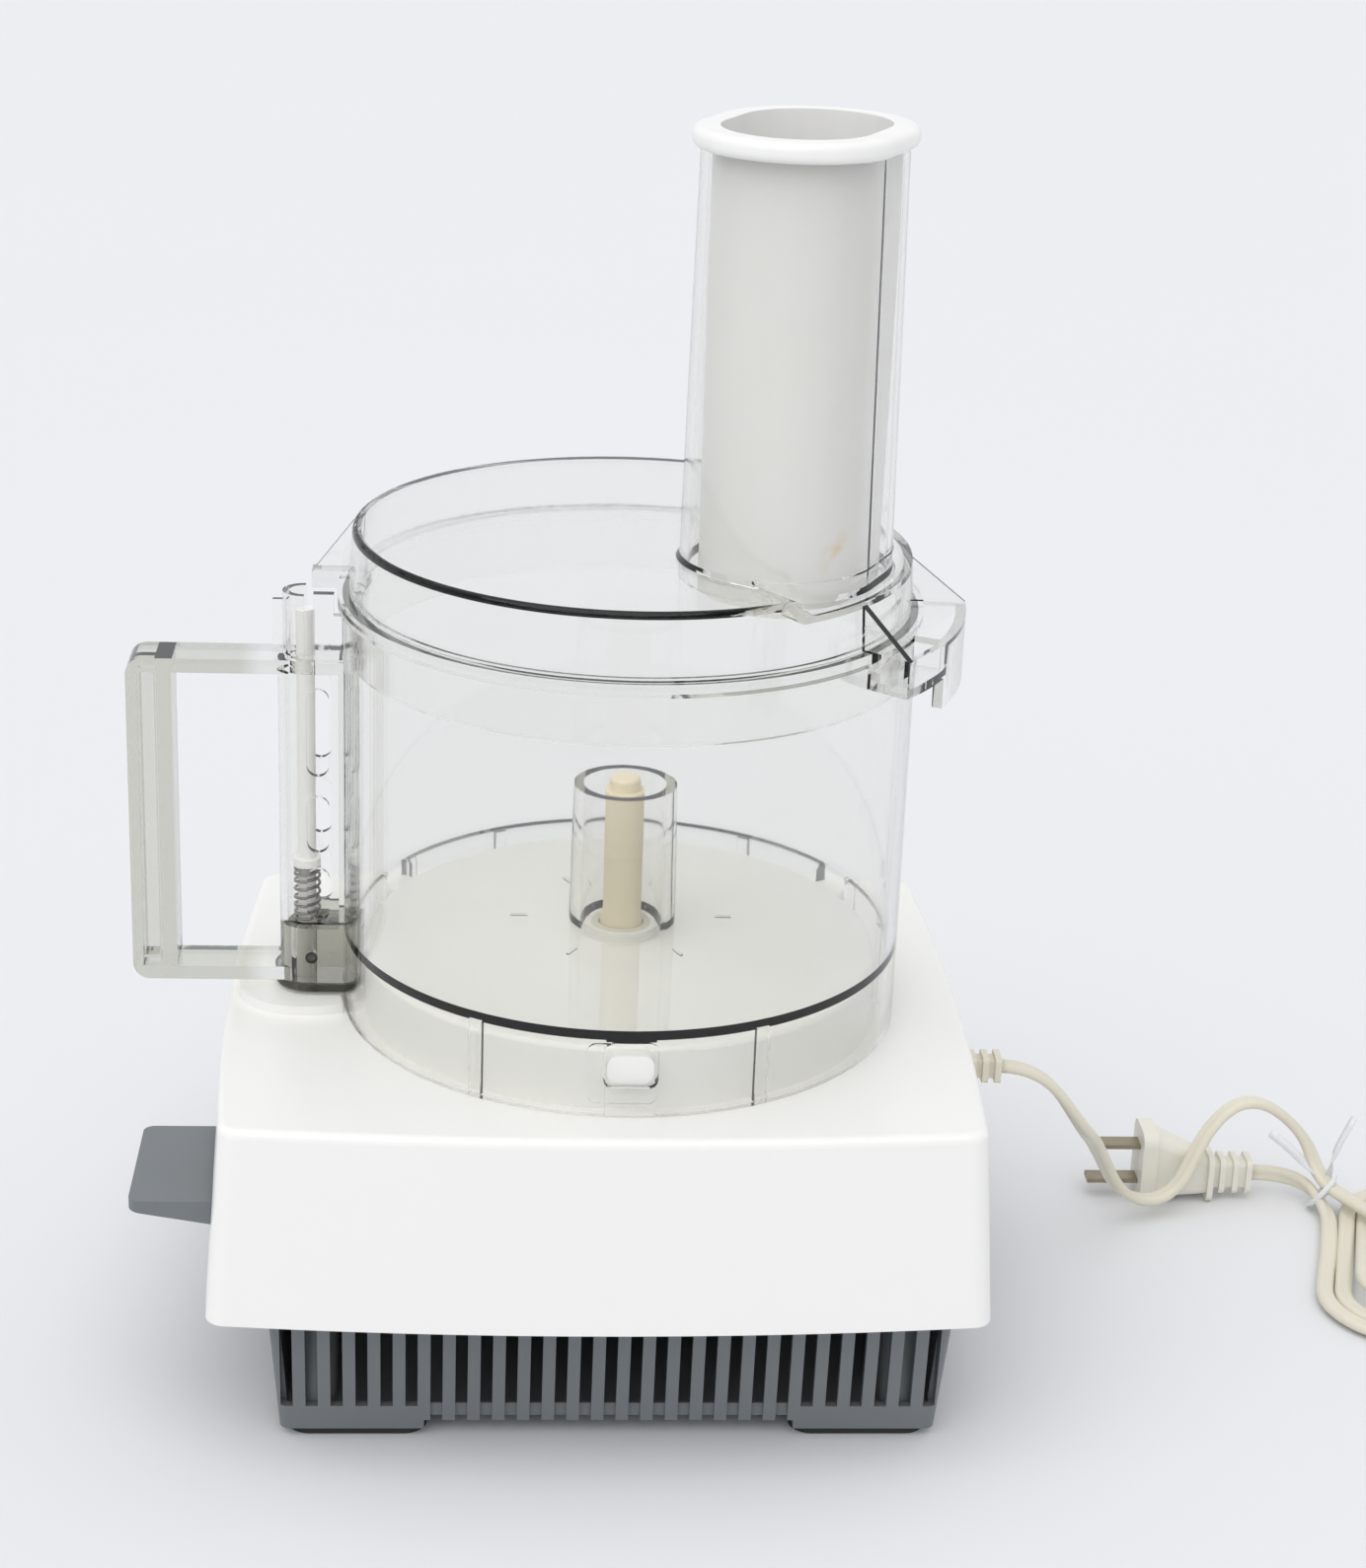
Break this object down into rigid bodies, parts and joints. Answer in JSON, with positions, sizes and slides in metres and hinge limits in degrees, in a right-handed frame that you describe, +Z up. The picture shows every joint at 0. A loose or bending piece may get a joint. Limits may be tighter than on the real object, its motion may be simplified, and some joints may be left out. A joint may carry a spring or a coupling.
{
  "type": "food processor",
  "caption": "Food processor: white motor base on a slotted tray, clear bowl with loop handle, clear cover with feed tube and white pusher, tied cord with plug.",
  "frame": {"origin": "on the floor, under the middle of the machine's box without its cord", "axes": "+Z up, -X towards the handle and the lever, +X towards the cord, +Y away from the camera"},
  "size_m": [0.436, 0.2022, 0.3689],
  "materials": {
    "white_abs": "fine satin",
    "white_gloss": "gloss",
    "grey_plastic": "fine satin",
    "clear_plastic": "clear moulded",
    "smoky_plastic": "smoky moulded",
    "cream_plastic": "satin",
    "cord_vinyl": "satin vinyl",
    "black_plastic": "satin",
    "rubber": "matt",
    "steel": "plain",
    "laminations": "stacked sheet",
    "copper": "varnished wire",
    "aluminium": "cast",
    "bronze": "sintered",
    "tie_paper": "paper",
    "brass_blades": "dull"
  },
  "bodies": {
    "base": {"housing": "white_abs", "base_grille": "grey_plastic", "rubber_feet": "rubber", "base_screws": "steel", "lower_motor_bracket": "aluminium", "upper_motor_bracket": "aluminium", "lower_bearing": "bronze", "upper_bearing": "bronze", "stator_core": "laminations", "stator_windings": "copper", "motor_bolts": "steel", "thrust_washer": "steel", "shaft_seal": "rubber", "run_capacitor": "aluminium", "capacitor_clip": "steel", "lever_pivot_pin": "steel", "main_switch": "black_plastic", "interlock_switch": "black_plastic", "interlock_spring": "steel", "strain_relief": "cream_plastic", "power_lead": "cord_vinyl", "cord_hank": "cord_vinyl", "plug_tail": "cord_vinyl", "cord_tie": "tie_paper", "plug_body": "cream_plastic", "plug_blades": "brass_blades"},
    "motor": {"rotor": "laminations", "drive_shaft": "steel", "cooling_fan": "black_plastic", "shaft_sheath": "cream_plastic"},
    "lever": {"control_lever": "grey_plastic"},
    "button": {"switch_button": "black_plastic"},
    "plunger": {"interlock_plunger": "white_gloss"},
    "bowl": {"work_bowl": "clear_plastic", "handle_end_cap": "smoky_plastic", "cap_screw": "steel", "rod_spring": "steel"},
    "rod": {"push_rod": "white_gloss"},
    "cover": {"bowl_cover": "clear_plastic"},
    "pusher": {"pusher": "white_abs"}
  },
  "joints": [
    {"name": "motor_spin", "type": "hinge", "parent": "base", "child": "motor", "pos_m": [0.01861, 0, 0.06], "axis": [0, 0, 1], "continuous": true},
    {"name": "lever_tilt", "type": "hinge", "parent": "base", "child": "lever", "pos_m": [-0.08739, -0.0545, 0.071], "axis": [0, 1, 0], "range_deg": [-6, 6]},
    {"name": "switch_press", "type": "slide", "parent": "base", "child": "button", "axis": [0, 0, 1], "range_m": [-0.0017, 0.0017]},
    {"name": "bowl_lift", "type": "slide", "parent": "base", "child": "bowl", "axis": [0, 0, 1], "range_m": [0, 0.08]},
    {"name": "rod_press", "type": "slide", "parent": "bowl", "child": "rod", "axis": [0, 0, -1], "range_m": [0, 0.006], "stiffness_N_per_m": 200, "springref_m": -0.005, "deforming": ["rod_spring"]},
    {"name": "plunger_press", "type": "slide", "parent": "base", "child": "plunger", "axis": [0, 0, -1], "range_m": [0, 0.006], "stiffness_N_per_m": 120, "springref_m": -0.004, "deforming": ["interlock_spring"]},
    {"name": "cover_lift", "type": "slide", "parent": "bowl", "child": "cover", "axis": [0, 0, 1], "range_m": [0, 0.12]},
    {"name": "pusher_slide", "type": "slide", "parent": "cover", "child": "pusher", "axis": [0, 0, 1], "range_m": [0, 0.126]}
  ],
  "couplings": [
    {"joint": "switch_press", "follows": "lever_tilt", "m_per_rad": -0.015},
    {"joint": "plunger_press", "follows": "rod_press", "ratio": 1}
  ]
}
